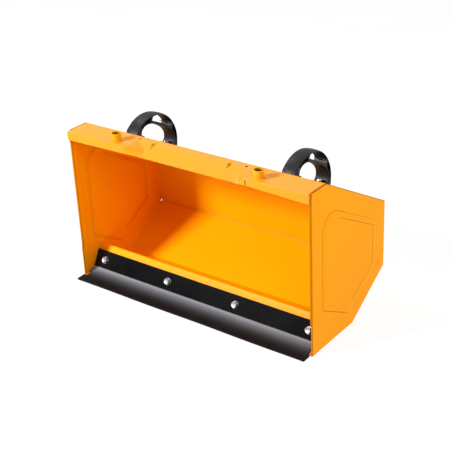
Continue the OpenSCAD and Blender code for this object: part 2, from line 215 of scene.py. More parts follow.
def from_bmesh(name, bm):
    """One object from what has been gathered in a bmesh, which is freed."""
    mesh = bpy.data.meshes.new(name)
    bm.to_mesh(mesh)
    bm.free()
    shade_smooth(mesh)
    return new_object(name, mesh)


def prism(name, outline, xs):
    """Outline in plate coordinates carried along X through the stations xs."""
    verts = [at(x, p[0], p[1]) for x in xs for p in outline]
    return make(name, verts, loft_faces(len(xs), len(outline)))


def rings_mesh(name, rings, close=True, caps=False):
    """Mesh from rings of equal length; a ring of zero radius closes to a point."""
    verts, index, faces = [], [], []
    for ring in rings:
        if all(abs(p[0] - ring[0][0]) < 1e-9 and abs(p[1] - ring[0][1]) < 1e-9 for p in ring):
            index.append([len(verts)] * len(ring))
            verts.append(ring[0])
        else:
            index.append(list(range(len(verts), len(verts) + len(ring))))
            verts += ring
    n = len(rings[0])
    pairs = list(zip(index, index[1:])) + ([(index[-1], index[0])] if close else [])
    for a, b in pairs:
        for i in range(n):
            j = (i + 1) % n
            f = list(dict.fromkeys((a[i], a[j], b[j], b[i])))
            if len(f) > 2:
                faces.append(tuple(f))
    if caps:
        faces += [tuple(index[0]), tuple(index[-1])]
    return make(name, verts, faces)


def circle(r, z, n=72):
    return [(r * math.cos(2 * math.pi * i / n), r * math.sin(2 * math.pi * i / n), z) for i in range(n)]


def rod(name, r, lo, hi, n=32):
    """Closed cylinder about Z."""
    profile = [(0, lo), (r, lo), (r, hi), (0, hi)]
    return rings_mesh(name, [circle(*p, n) for p in profile], close=False)


def box_mesh(name, lo, hi):
    x0, y0, z0 = lo
    x1, y1, z1 = hi
    v = [(x, y, z) for x in (x0, x1) for y in (y0, y1) for z in (z0, z1)]
    f = [(0, 1, 3, 2), (4, 6, 7, 5), (0, 4, 5, 1), (2, 3, 7, 6), (0, 2, 6, 4), (1, 5, 7, 3)]
    return make(name, v, f)


def join(name, objs):
    """One object from several, all with identity transforms and no modifiers."""
    bm = bmesh.new()
    for o in objs:
        bm.from_mesh(o.data)
    for o in objs:
        bpy.data.objects.remove(o, do_unlink=True)
    return from_bmesh(name, bm)


def bake_modifiers(obj):
    """Replaces the mesh by its evaluated self and drops the modifiers."""
    dg = bpy.context.evaluated_depsgraph_get()
    dg.update()
    mesh = bpy.data.meshes.new_from_object(obj.evaluated_get(dg))
    old = obj.data
    obj.modifiers.clear()
    obj.data = mesh
    bpy.data.meshes.remove(old)
    return obj


def cut(obj, cutters):
    for c in cutters:
        m = obj.modifiers.new("cut", "BOOLEAN")
        m.operation = "DIFFERENCE"
        m.solver = "EXACT"
        m.object = c
        bake_modifiers(obj)
        bpy.data.objects.remove(c, do_unlink=True)
    shade_smooth(obj.data)
    return obj


def soften(obj, width, segments=2, angle=30.0):
    """Rounded edges with even shading on the flats."""
    m = obj.modifiers.new("edges", "BEVEL")
    m.width = width * MM
    m.segments = segments
    m.limit_method = "ANGLE"
    m.angle_limit = math.radians(angle)
    m.use_clamp_overlap = True
    m.miter_outer = "MITER_ARC"
    bake_modifiers(obj)
    shade_smooth(obj.data)
    even_normals(obj)
    return obj


def dress(obj, material, slot, *nodes):
    obj.data.materials.clear()
    obj.data.materials.append(material)
    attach(obj, "root")
    if nodes:
        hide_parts(*nodes)
    return obj


# ---- materials


def new_material(name):
    mat = bpy.data.materials.new(name)
    mat.use_nodes = True
    tree = mat.node_tree
    tree.nodes.clear()
    out = tree.nodes.new("ShaderNodeOutputMaterial")
    bsdf = tree.nodes.new("ShaderNodeBsdfPrincipled")
    tree.links.new(bsdf.outputs[0], out.inputs[0])
    coord = tree.nodes.new("ShaderNodeTexCoord")
    return mat, tree, bsdf, coord.outputs["Object"]


def split_axes(tree, vector):
    """The X, Y and Z outputs of a vector socket."""
    m = tree.nodes.new("ShaderNodeSeparateXYZ")
    tree.links.new(vector, m.inputs[0])
    return m.outputs


def noise(tree, coord, scale, detail=3.0, rough=0.55, stretch=None, kind="ShaderNodeTexNoise"):
    if stretch:
        m = tree.nodes.new("ShaderNodeMapping")
        m.inputs["Scale"].default_value = stretch
        tree.links.new(coord, m.inputs["Vector"])
        coord = m.outputs[0]
    t = tree.nodes.new(kind)
    t.inputs["Scale"].default_value = scale
    if kind == "ShaderNodeTexNoise":
        t.inputs["Detail"].default_value = detail
        t.inputs["Roughness"].default_value = rough
    tree.links.new(coord, t.inputs["Vector"])
    return t.outputs[0]


def ramp(tree, value, lo, hi, out_lo=0.0, out_hi=1.0):
    m = tree.nodes.new("ShaderNodeMapRange")
    m.inputs["From Min"].default_value = lo
    m.inputs["From Max"].default_value = hi
    m.inputs["To Min"].default_value = out_lo
    m.inputs["To Max"].default_value = out_hi
    tree.links.new(value, m.inputs["Value"])
    return m.outputs[0]


def mix(tree, factor, a, b):
    m = tree.nodes.new("ShaderNodeMix")
    m.data_type = "RGBA"
    for socket, value in ((6, a), (7, b)):
        if isinstance(value, tuple):
            m.inputs[socket].default_value = (*value, 1.0)
        else:
            tree.links.new(value, m.inputs[socket])
    tree.links.new(factor, m.inputs[0])
    return m.outputs[2]


def bumps(tree, layers):
    """Chain of bumps; layers are (height socket, strength, distance in metres)."""
    normal = None
    for height, strength, distance in layers:
        b = tree.nodes.new("ShaderNodeBump")
        b.inputs["Strength"].default_value = strength
        b.inputs["Distance"].default_value = distance
        tree.links.new(height, b.inputs["Height"])
        if normal is not None:
            tree.links.new(normal, b.inputs["Normal"])
        normal = b.outputs[0]
    return normal


def calc(tree, operation, *values):
    """One math node; each value is a number or a socket."""
    m = tree.nodes.new("ShaderNodeMath")
    m.operation = operation
    for socket, value in zip(m.inputs, values):
        if isinstance(value, float):
            socket.default_value = value
        else:
            tree.links.new(value, socket)
    return m.outputs[0]


def largest(tree, masks):
    total = masks[0]
    for mask in masks[1:]:
        total = calc(tree, "MAXIMUM", total, mask)
    return total


def painted_hole_shade(tree, axes, wells):
    """Mask of painted shade on the walls inside holes (x, y, r, z_top, fade) and slits (x, half, z_top,
    fade).
    """
    masks = []
    for *place, size, z_top, fade in wells:
        away = [calc(tree, "SUBTRACT", axes[i], v) for i, v in enumerate(place)]
        squares = [calc(tree, "MULTIPLY", v, v) for v in away]
        total = squares[0] if len(place) == 1 else calc(tree, "ADD", *squares)
        far = calc(tree, "SQRT", total)
        near = ramp(tree, far, size + 0.0003, size + 0.0001)
        low = ramp(tree, axes[2], z_top, z_top - fade)
        masks.append(calc(tree, "MULTIPLY", near, low))
    return largest(tree, masks)


# depth below a plate's top edge at which its painted dark line of shade starts and is complete
EDGE_FROM, EDGE_FULL = 0.0022, 0.0008


def plate_edge_shade(tree, axes):
    """Mask of the painted shade along the side plates' front nose and top edges."""
    back, up = math.sin(ROOF), math.cos(ROOF)
    _, y, z = at(0, RAIL_BACK, TOP_Z)
    along_y = calc(tree, "MULTIPLY", axes[1], back)
    along_z = calc(tree, "MULTIPLY", axes[2], up)
    roof = y * back + z * up
    return largest(tree, [
        ramp(tree, axes[1], Y0 + 0.0045, Y0 + 0.0015, 0.0, 0.62),
        ramp(tree, axes[2], z - EDGE_FROM, z - EDGE_FULL, 0.0, 0.8),
        ramp(tree, calc(tree, "ADD", along_y, along_z), roof - EDGE_FROM, roof - EDGE_FULL, 0.0, 0.8),
    ])


def finish(tree, bsdf, colour, rough, layers, spec=0.5):
    """Wires colour, roughness and bumps into the shader; the specular level is a constant."""
    tree.links.new(colour, bsdf.inputs["Base Color"])
    tree.links.new(rough, bsdf.inputs["Roughness"])
    tree.links.new(bumps(tree, layers), bsdf.inputs["Normal"])
    bsdf.inputs["Specular IOR Level"].default_value = spec


def paint(name, base, deep, gloss, spec=0.13, top_sheen_colour=None, wells=(), rim=False):
    """Powder coat: orange peel and cloudy thickness, with painted shade darker in grooves and a painted
    sheen paler where it faces up.
    """
    mat, tree, bsdf, coord = new_material(name)
    cloud = noise(tree, coord, 5.0, 4.0, 0.6)
    fine = noise(tree, coord, 60.0, 4.0, 0.6)
    colour = mix(tree, ramp(tree, cloud, 0.3, 0.7), base, deep)
    geo = tree.nodes.new("ShaderNodeNewGeometry")
    # painted shade: concave creases and grooves are darkened, standing in for the shade that falls in them
    painted_crease_shade = ramp(tree, geo.outputs["Pointiness"], 0.497, 0.475, 0.0, 0.85)
    colour = mix(tree, painted_crease_shade, colour, tuple(c * 0.4 for c in deep))
    worn = ramp(tree, geo.outputs["Pointiness"], 0.56, 0.66, 0.0, 0.12)
    colour = mix(tree, worn, colour, (1.0, 0.45, 0.04))
    speck = noise(tree, coord, 900.0, 2.0, 0.5)
    dots = ramp(tree, speck, 0.78, 0.86, 0.0, 0.25)
    colour = mix(tree, dots, colour, tuple(c * 0.55 for c in base))
    # painted sheen: faces that point up are mixed towards a paler colour, standing in for light reflected
    # from above
    if top_sheen_colour:
        facing_up = ramp(tree, split_axes(tree, geo.outputs["Normal"])["Z"], 0.86, 0.99)
        colour = mix(tree, facing_up, colour, top_sheen_colour)
    if rim:
        # painted shade: a dark line along the side plates' front nose and top edges
        colour = mix(tree, plate_edge_shade(tree, split_axes(tree, coord)), colour, (0.28, 0.07, 0.001))
    if wells:
        # painted shade: walls inside holes, bores and slits are darkened
        shade = painted_hole_shade(tree, split_axes(tree, coord), wells)
        colour = mix(tree, shade, colour, (0.09, 0.025, 0.001))
    peel = noise(tree, coord, 420.0, 2.0, 0.5)
    pits = noise(tree, coord, 1300.0, 2.0, 0.5)
    sway = noise(tree, coord, 9.0, 2.0, 0.4)
    rough = ramp(tree, fine, 0.3, 0.7, gloss - 0.05, gloss + 0.07)
    layers = [(sway, 0.25, 0.0012), (peel, 0.2, 0.0003), (pits, 0.12, 0.00012)]
    finish(tree, bsdf, colour, rough, layers, spec)
    return mat


SIDE_ORANGE = (0.97, 0.350, 0.0004)
SIDE_DEEP = (0.94, 0.330, 0.0004)
ORANGE = (0.97, 0.368, 0.0004)
ORANGE_DEEP = (0.94, 0.348, 0.0004)
YELLOW = (0.80, 0.292, 0.013)
YELLOW_DEEP = (0.78, 0.276, 0.010)
HOLE_Y = Y0 + 0.0425
BORE_Y = Y0 + 0.010
# side plates: painted shade along the front nose and top edges
side_paint = paint("side_paint", SIDE_ORANGE, SIDE_DEEP, 0.34, 0.03, rim=True)
body_paint = paint("body_paint", ORANGE, ORANGE_DEEP, 0.38, 0.06)
ramp_paint = paint("ramp_paint", ORANGE, ORANGE_DEEP, 0.34)
# rail: painted sheen on the upward faces, painted shade inside the relief holes and the slit
rail_paint = paint(
    "rail_paint", YELLOW, YELLOW_DEEP, 0.34, top_sheen_colour=(0.92, 0.335, 0.030),
    wells=[(-0.142, HOLE_Y, 0.003, 0.3572, 0.0006), (0.134, HOLE_Y, 0.003, 0.3572, 0.0006),
           (0.165, 0.0009, 0.3535, 0.0005)],
)
# tubes: painted shade inside the bores
tube_paint = paint(
    "tube_paint", (0.80, 0.33, 0.002), (0.78, 0.31, 0.002), 0.3,
    wells=[(x, BORE_Y, 0.0088, 0.3745, 0.006) for x in (-0.178, 0.186)],
)


def rubber_material():
    """Smooth black strip; a painted pale sheen just below the crease, fading over the flap."""
    mat, tree, bsdf, coord = new_material("lip_rubber")
    cloud = noise(tree, coord, 14.0, 5.0, 0.6)
    dust = noise(tree, coord, 240.0, 4.0, 0.7)
    patches = ramp(tree, cloud, 0.3, 0.75)
    colour = mix(tree, patches, (0.004, 0.004, 0.004), (0.009, 0.009, 0.009))
    colour = mix(tree, ramp(tree, dust, 0.6, 0.85, 0.0, 0.35), colour, (0.02, 0.02, 0.02))
    axes = split_axes(tree, coord)
    reach_back = ramp(tree, axes["Y"], Y0 - 0.025, Y0 + 0.030)
    streak = noise(tree, coord, 120.0, 3.0, 0.6, stretch=(0.06, 1.0, 1.0))
    below = ramp(tree, axes["Z"], 0.0132, 0.0120)
    # painted highlight: pale colour just below the crease, strongest towards the back and fading over the
    # flap, standing in for reflected light
    painted_sheen = calc(tree, "MULTIPLY", calc(tree, "POWER", reach_back, 3.6), below)
    painted_sheen = calc(tree, "MULTIPLY", painted_sheen, ramp(tree, streak, 0.3, 0.7, 0.9, 1.05))
    colour = mix(tree, painted_sheen, colour, (0.27, 0.30, 0.34))
    grain = noise(tree, coord, 1500.0, 2.0, 0.5)
    rough = ramp(tree, below, 0.0, 1.0, 0.13, 0.8)
    finish(tree, bsdf, colour, rough, [(streak, 0.08, 0.0002), (grain, 0.1, 0.0001)], 0.14)
    return mat


def plastic_material():
    mat, tree, bsdf, coord = new_material("handle_plastic")
    cloud = noise(tree, coord, 30.0, 4.0, 0.6)
    patches = ramp(tree, cloud, 0.3, 0.7)
    colour = mix(tree, patches, (0.006, 0.006, 0.0065), (0.011, 0.011, 0.0115))
    geo = tree.nodes.new("ShaderNodeNewGeometry")
    # lighter colour on convex edges
    convex_edge_lightening = ramp(tree, geo.outputs["Pointiness"], 0.54, 0.62, 0.0, 0.3)
    colour = mix(tree, convex_edge_lightening, colour, (0.045, 0.045, 0.048))
    spark = noise(tree, coord, 700.0, 3.0, 0.6)
    grain = noise(tree, coord, 1100.0, 2.0, 0.5, kind="ShaderNodeTexVoronoi")
    rough = ramp(tree, spark, 0.3, 0.7, 0.42, 0.55)
    finish(tree, bsdf, colour, rough, [(grain, 0.3, 0.00012), (spark, 0.2, 0.0002)], 0.28)
    return mat


def zinc_material(name, bright, dull, smooth):
    mat, tree, bsdf, coord = new_material(name)
    spangle = noise(tree, coord, 420.0, 3.0, 0.6, kind="ShaderNodeTexVoronoi")
    colour = mix(tree, ramp(tree, spangle, 0.1, 0.7), bright, dull)
    bsdf.inputs["Metallic"].default_value = 1.0
    turn = noise(tree, coord, 500.0, 3.0, 0.6, stretch=(1.0, 0.25, 1.0))
    rough = ramp(tree, turn, 0.3, 0.7, smooth - 0.05, smooth + 0.08)
    finish(tree, bsdf, colour, rough, [(turn, 0.15, 0.0001)])
    return mat


lip_rubber = rubber_material()
handle_plastic = plastic_material()
zinc_steel = zinc_material("zinc_steel", (0.40, 0.40, 0.40), (0.19, 0.19, 0.195), 0.46)
washer_steel = zinc_material("washer_steel", (0.36, 0.38, 0.37), (0.20, 0.21, 0.21), 0.30)

# ---- side plates

RELIEF, RELIEF_H = 4.0, 14.0
PLATE = [(0, 0), (BASE_D, 0), (BODY_D, BACK_LOW_Z), (BODY_D, BACK_TOP_Z), (RAIL_BACK, TOP_Z),
         (RELIEF, TOP_Z), (RELIEF, TOP_Z - RELIEF_H + RELIEF), (0, TOP_Z - RELIEF_H)]
PANEL = [(40, 86), (40, 314), (243, 202.35), (243, 99), (135, 33.5)]
PANEL_RADII = [10, 36, 6, 8, 5]
PANEL_RISE = 1.2
PANEL_STEP = 12.0
HUB = np.array((136.0, 172.0))
HEM_LOW, HEM_TOP = 72.0, TOP_Z - 26.5


def closed_fillet(points, radii, steps):
    """Closed polygon with every corner rounded."""
    n = len(points)
    out = []
    for i in range(n):
        a, b, c = points[i - 1], points[i], points[(i + 1) % n]
        out += fillet([a, b, c], [radii[i]], steps)[1:-1]
    return out


def inset_distance(points, poly):
    """Signed distance of points to a closed polygon, positive inside."""
    a = np.array(poly)
    b = np.roll(a, -1, axis=0)
    e = b - a
    w = points[:, None, :] - a[None]
    t = np.clip((w * e).sum(-1) / (e * e).sum(-1), 0, 1)
    d = np.sqrt(((w - t[..., None] * e) ** 2).sum(-1)).min(1)
    y1, y2 = a[:, 1], b[:, 1]
    px, py = points[:, 0][:, None], points[:, 1][:, None]
    cond = (y1 > py) != (y2 > py)
    with np.errstate(divide="ignore", invalid="ignore"):
        xi = a[:, 0] + (py - y1) / (y2 - y1) * e[:, 0]
    inside = ((cond & (px < xi)).sum(1) % 2) == 1
    return np.where(inside, d, -d)


def reach(dirs, inside):
    """Distance from the hub, along every direction, at which the test stops being true."""
    lo, hi = np.full(len(dirs), 5.0), np.full(len(dirs), 400.0)
    for _ in range(36):
        mid = (lo + hi) / 2
        ok = inside(HUB + dirs * mid[:, None])
        lo, hi = np.where(ok, mid, lo), np.where(ok, hi, mid)
    return lo


def smooth_step(t):
    t = clamp(t)
    return t * t * (3 - 2 * t)


def sector(angle, start, end, soft=7.0):
    """1 for directions between start and end degrees, fading at both limits."""
    a = math.degrees(angle) % 360
    a = a if a >= start - soft else a + 360
    return smooth_step((a - start) / soft + 0.5) * smooth_step((end - a) / soft + 0.5)


def quarter(t):
    """Rise of a quarter circle, from 0 at t = 0 to 1 at t = 1."""
    return math.sqrt(1 - (1 - clamp(t)) ** 2)


def rim_drop(y, z, depth, face):
    """How far the rounded rim lies below the plate's face; the hemmed front is a wide nose."""
    plain = 1.0 - quarter(depth)
    hem = smooth_step((z - HEM_LOW) / 3) * smooth_step((HEM_TOP - z) / 3)
    if y > 6.5 or hem == 0:
        return plain
    nose = 2.8 * (1 - quarter(y / 6.0)) if face else 0.0
    return plain + (nose - plain) * hem


# loops of a plate's mesh: (inset from the outline, least distance behind the front edge)
RIM_LOOPS = [(0.0, 0.0), (0.12, 0.12), (0.35, 0.35), (0.65, 0.7), (1.0, 1.3), (1.2, 2.4), (1.5, 4.0),
             (1.8, 6.2), (9.0, 12.0)]
# loops by their inset from the panel's outline
PANEL_LOOPS = [-4, -2.6, -1.8, -1.1, -0.5, 0, 0.5, 1.1, 1.8, 2.8, 4.5, 6, 7.5, 9, 10.2, 10.9, 11.5, 12,
               12.5, 13.1, 13.8, 15, 18]


def side_plate(name, side, node):
    outline = closed_fillet(PLATE, [1.5, 3, 3, 3, 1.5, 1.0, 2.0, 2.0], 3)
    panel = closed_fillet(PANEL, PANEL_RADII, 12)
    angles = [math.radians(a) for a in np.arange(0, 360, 1.0)]
    angles += [math.atan2(p[1] - HUB[1], p[0] - HUB[0]) % (2 * math.pi) for p in outline]
    angles = sorted(set(round(a % (2 * math.pi), 6) for a in angles))
    n = len(angles)
    dirs = np.array([(math.cos(a), math.sin(a)) for a in angles])
    loops = []
    for inset, front in RIM_LOOPS:
        within = reach(dirs, lambda p: (inset_distance(p, outline) > inset) & (p[:, 0] > front))
        loops.append((within, None))
    for d in PANEL_LOOPS:
        loops.append((reach(dirs, lambda p: inset_distance(p, panel) > d), d))
    verts = []
    for face in (0, 1):
        for r, d in loops:
            depth = inset_distance(HUB + dirs * r[:, None], outline)
            for i, a in enumerate(angles):
                y, z = HUB + dirs[i] * r[i]
                if d is None:
                    drop = rim_drop(y, z, max(depth[i], 0.0), face)
                    lift = -drop if face else drop
                else:
                    outer = sector(a, 100, 268) + 0.45 * sector(a, 20, 100)
                    inner = sector(a, -84, 112) if a < math.pi else sector(a, 276, 472)
                    lift = PANEL_RISE * smooth_step((d + 0.5) / (PANEL_STEP + 1))
                    lift -= 1.0 * min(outer, 1.0) * math.exp(-((d / 1.3) ** 2))
                    lift -= 0.95 * inner * math.exp(-(((d - PANEL_STEP) / 1.3) ** 2))
                x = side * (INNER_X + face * SIDE_T + lift * MM)
                verts.append(at(x, y, z))
    faces = []
    m = len(loops)
    for face in (0, 1):
        base = face * m * n
        for k in range(m - 1):
            faces += band_faces(base + k * n, base + (k + 1) * n, n)
        faces.append(tuple(base + (m - 1) * n + i for i in range(n)))
    faces += band_faces(0, m * n, n)
    plate = make(name, verts, faces)
    turn = np.linspace(0.1, math.pi / 2, 9)
    section = [(0.25, 0.0)] + [(-3 * math.sin(w), 3 - 3 * math.cos(w)) for w in turn]
    section += [(-3.0, 9.0), (-3.0, 15.2), (-2.8, 15.8), (-2.3, 16.0), (0.25, 16.0)]
    levels = (HEM_LOW, 0.7 * HEM_LOW + 0.3 * HEM_TOP, HEM_TOP)
    hem_rings = [[(side * x, y, z) for x, y in section] for z in levels]
    hem = rings_mesh("hem", hem_rings, close=False, caps=True)
    hem.data.transform(Matrix.Translation(at(side * INNER_X, 0, 0)) @ Matrix.Scale(MM, 4))
    x0, x1 = sorted((side * HALF_W, side * (HALF_W - 10 * MM)))
    tab = box_mesh("tab", at(x0, 0, 0), at(x1, 27, 2.5))
    soften(tab, 0.8, 3)
    bake_modifiers(tab)
    obj = join(name, [plate, hem, tab])
    even_normals(obj)
    return dress(obj, side_paint, "side_paint", node)


side_plate("plate_left", -1, "side_plate_left")
side_plate("plate_right", 1, "side_plate_right")

# ---- body sheet

RAMP_ANGLE = math.radians(61.5)
RAMP_DIR = (math.cos(RAMP_ANGLE), math.sin(RAMP_ANGLE))
RAMP_OUT = (-math.sin(RAMP_ANGLE), math.cos(RAMP_ANGLE))
CREASE = (30.0, 12.7)
RAMP_FACE = (CREASE[0] - RAMP_OUT[0] * LIP_T, CREASE[1] - RAMP_OUT[1] * LIP_T)


def along(p, d, s):
    return (p[0] + d[0] * s, p[1] + d[1] * s)


def resample(line, step):
    out = [line[0]]
    for a, b in zip(line, line[1:]):
        out += divide(a, b, max(1, int(math.dist(a, b) / step)))
    return out


def across(half, step=0.02):
    """Stations along X between -half and half."""
    n = int(2 * half / step)
    return [-half + 2 * half * i / n for i in range(n + 1)]


FLOOR_FRONT = along(RAMP_FACE, RAMP_DIR, (SHEET_T - RAMP_FACE[1]) / RAMP_DIR[1])
body_line = fillet(
    [(FLOOR_FRONT[0], 0), (BASE_D, 0), (BODY_D, BACK_LOW_Z), (BODY_D, BACK_TOP_Z), (RAIL_BACK, TOP_Z)],
    [7.0, 7.0, 7.0],
    8,
)
body = prism("body", sheet_outline(resample(body_line, 12.0), SHEET_T), across(INNER_X - 0.2 * MM))
notches = [
    box_mesh("notch", at(x - 3.4 * MM, BODY_D - 5.5, BACK_LOW_Z - 4),
             at(x + 3.4 * MM, BODY_D + 4, BACK_LOW_Z + 3))
    for x in (-INNER_X, INNER_X)
]
trim = box_mesh("trim", at(-0.4, RAIL_BACK - 12, TOP_Z - 12), at(0.4, RAIL_BACK, TOP_Z + 6))
cut(body, notches + [trim])
soften(body, 0.4, 2, 40)
dress(body, body_paint, "body_paint", "body_sheet")


def ripple_bead(name, path, radius, side_dirs, wobble, material, slot):
    """Fillet weld: a fan of points swept along a path, its size wobbling like laid ripples."""
    steps = 6
    verts = []
    for k, p in enumerate(path):
        u, v = side_dirs[k]
        r = radius * (1 + wobble * math.sin(k * 1.9) + wobble * random.uniform(-0.5, 0.5))
        verts.append(Vector(p))
        for s in range(steps + 1):
            a = s / steps * math.pi / 2
            bulge = r * (0.78 + 0.1 * math.sin(2 * a))
            verts.append(Vector(p) + (u * math.cos(a) + v * math.sin(a)) * (r if s in (0, steps) else bulge))
    obj = make(name, verts, loft_faces(len(path), steps + 2))
    return dress(obj, material, slot)


def inner_seam(name, side, start, end, radius):
    """Seam inside the bucket between the body sheet and a side plate."""
    inner = offset(body_line, SHEET_T)
    line = [p for p in inner if start <= p[0]][:-1]
    line = resample(line, 2.2)
    line = line[: int(len(line) * end)]
    path, dirs = [], []
    for i, p in enumerate(line):
        q = line[min(i + 1, len(line) - 1)]
        o = line[max(i - 1, 0)]
        t = heading(o, q)
        inward = Vector((0, -t[1], t[0]))
        path.append(at(side * (INNER_X - 0.05 * MM), p[0], p[1]))
        dirs.append((Vector((-side, 0, 0)), inward))
    return ripple_bead(name, path, radius * MM, dirs, 0.12, body_paint, "body_paint")


inner_seam("seam_left", -1, 84.0, 0.97, 1.7)
inner_seam("seam_right", 1, 84.0, 0.97, 1.7)

# ---- front ramp

ramp_peak = along(FLOOR_FRONT, RAMP_DIR, 71.6)
rear_run = (ramp_peak[1] - SHEET_T) / math.tan(math.radians(73))
ramp_line = fillet([FLOOR_FRONT, ramp_peak, (ramp_peak[0] + rear_run, SHEET_T)], [4.0], 12)
ramp_obj = prism("ramp", sheet_outline(resample(ramp_line, 8.0), -RAMP_T), across(INNER_X - 0.3 * MM))
soften(ramp_obj, 0.4, 2, 40)
dress(ramp_obj, ramp_paint, "rail_paint", "front_ramp")

# ---- rubber lip

LIP_TOP = along(CREASE, RAMP_DIR, (48.4 - CREASE[1]) / RAMP_DIR[1])
LIP_AHEAD = 25.0
upper = fillet(
    [(-LIP_AHEAD, LIP_T), (-9, 4.1), (4, 5.2), (14, 7.0), (23, 9.6), CREASE, LIP_TOP],
    [30, 30, 30, 20, 1.6],
    6,
)
lower = fillet(
    [(-LIP_AHEAD, 0), (-9, 0), (1, 0.6), (10.5, 2.2), (20.5, 5.2), along(FLOOR_FRONT, RAMP_DIR, 8),
     (LIP_TOP[0] - RAMP_OUT[0] * LIP_T, LIP_TOP[1] - RAMP_OUT[1] * LIP_T)],
    [20, 20, 20, 20, 4],
    3,
)
LIP_LO, LIP_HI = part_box("rubber_lip")[0][0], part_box("rubber_lip")[1][0]
lip = prism("lip", upper + lower[::-1], [LIP_LO + (LIP_HI - LIP_LO) * i / 60 for i in range(61)])
for v in lip.data.vertices:
    py = (v.co.y - Y0) / MM
    sag = smooth_step((20 - py) / 40) * 0.35 * MM
    if v.co.z > 1.5 * MM:
        v.co.z += sag * math.sin(v.co.x * 31.0) * math.sin(v.co.x * 11.0 + 1.0) - sag * 0.6
    v.co.y += smooth_step((-10 - py) / 15) * 0.5 * MM * (1 + math.sin(v.co.x * 23.0 + 0.6))
cutters = []
for s in (-1, 1):
    x0, x1 = sorted((s * (HALF_W - 10.5 * MM), s * (HALF_W + 5 * MM)))
    cutters.append(box_mesh("cutter", at(x0, -3, -1), at(x1, 13, CREASE[1])))
    x0, x1 = sorted((s * (INNER_X - MM), s * (HALF_W + 5 * MM)))
    cutters.append(box_mesh("cutter", at(x0, -3, -2), at(x1, 80, 80)))
cut(lip, cutters)
soften(lip, 0.45, 2, 40)
dress(lip, lip_rubber, "lip_rubber", "rubber_lip")

# ---- fasteners


def revolve_hex(flats, z_top, z_low, crown=0.25, n=72):
    """Hexagon head with a chamfered, slightly dished top: rings of points about Z."""
    rings = []

    def hex_r(a):
        w = (math.degrees(a) % 60) - 30
        return flats / 2 / math.cos(math.radians(w))

    face_r = flats * 0.475
    shapes = [("flat", 0.0, z_top - crown), ("flat", face_r * 0.8, z_top - crown),
              ("flat", face_r * 0.9, z_top), ("flat", face_r, z_top), ("hex", 0.985, None),
              ("hex", 1.0, None), ("hex", 1.0, z_low)]
    for kind, r, z in shapes:
        ring = []
        for i in range(n):
            a = 2 * math.pi * i / n
            rr = r if kind == "flat" else hex_r(a) * r
            zz = z
            if zz is None:
                slope = max(0.0, hex_r(a) - face_r) * math.tan(math.radians(30))
                zz = z_top - slope - (0.12 if r == 1.0 else 0)
            ring.append((rr * math.cos(a), rr * math.sin(a), zz))
        rings.append(ring)
    return rings


def bolt(flats, head_h, d, shank):
    rings = revolve_hex(flats, head_h, 0.0)
    rings.append(circle(d / 2, 0.0))
    threads = int(shank - 3)
    rings.append(circle(d / 2, -(shank - threads) + 1))
    for k in range(threads):
        z = -(shank - threads) - k
        rings.append(circle(d / 2 - 0.45, z + 0.5))
        rings.append(circle(d / 2 - 0.05, z))
    rings.append(circle(d / 2 - 0.7, -shank))
    rings.append(circle(0.0, -shank))
    return rings_mesh("bolt", rings, close=False)


def washer(d, od, h):
    inner, outer = d / 2, od / 2
    profile = [(inner + 0.3, 0.0), (outer - 0.3, 0.0), (outer, 0.3), (outer, h - 0.35), (outer - 0.35, h),
               (inner + 0.5, h), (inner + 0.2, h - 0.3)]
    return rings_mesh("washer", [circle(r, z) for r, z in profile])


def nut(flats, h, d):
    top = revolve_hex(flats, h, h / 2, 0.0)
    rings = [circle(d / 2, h - 0.4), circle(d / 2 + 0.5, h)] + top[3:]
    low = [[(p[0], p[1], h - p[2]) for p in ring] for ring in top[3:]]
    rings += low[::-1] + [circle(d / 2 + 0.5, 0.0), circle(d / 2, 0.4)]
    return rings_mesh("nut", rings)


def placed(proto, frames, name, material, slot, node):
    """Copies of a prototype, given in millimetres, at several frames, as one object."""
    bm = bmesh.new()
    for m in frames:
        copy = proto.data.copy()
        copy.transform(m @ Matrix.Scale(MM, 4))
        bm.from_mesh(copy)
        bpy.data.meshes.remove(copy)
    bpy.data.objects.remove(proto, do_unlink=True)
    obj = from_bmesh(name, bm)
    m = obj.modifiers.new("edges", "EDGE_SPLIT")
    m.split_angle = math.radians(38)
    return dress(obj, material, slot, node)


def frame_at(origin, z_axis, spin):
    """Matrix whose Z follows z_axis, turned by spin degrees about it."""
    z = Vector(z_axis).normalized()
    x = Vector((1, 0, 0))
    y = z.cross(x)
    m = Matrix((x, y, z)).transposed().to_4x4()
    m.translation = origin
    return m @ Matrix.Rotation(math.radians(spin), 4, "Z")


RAMP_NORMAL = (0, RAMP_OUT[0], RAMP_OUT[1])
BOLT_AT = along(CREASE, RAMP_DIR, 19.6)
LIP_BOLT_X = [-277.0, -92.0, 92.0, 277.0]
WASHER_H, NUT_H = 1.6, 6.5


def ramp_frames(lift, spins):
    p = along(BOLT_AT, RAMP_OUT, lift)
    return [frame_at(at(x * MM, p[0], p[1]), RAMP_NORMAL, s) for x, s in zip(LIP_BOLT_X, spins)]


spins = [12, 41, 27, 53]
for proto, lift, kind, material in (
    (bolt(13, 5.3, 7.9, 17.1), WASHER_H, "bolt", zinc_steel),
    (washer(8.4, 17, WASHER_H), 0, "washer", washer_steel),
    (nut(13, NUT_H, 8.1), -LIP_T - RAMP_T - NUT_H, "nut", zinc_steel),
):
    placed(proto, ramp_frames(lift, spins), f"lip_{kind}_set", material, "zinc_steel", f"lip_{kind}s")

ROOF_DIR = (math.cos(ROOF), -math.sin(ROOF))
ROOF_OUT = (math.sin(ROOF), math.cos(ROOF))
ROOF_NORMAL = (0, ROOF_OUT[0], ROOF_OUT[1])
HANDLE_X = 203.5
HANDLE_S = 107.5
HANDLE_BOLT_S = 51.0


def on_roof(s, n):
    p = along((RAIL_BACK, TOP_Z), ROOF_DIR, s)
    return along(p, ROOF_OUT, n)


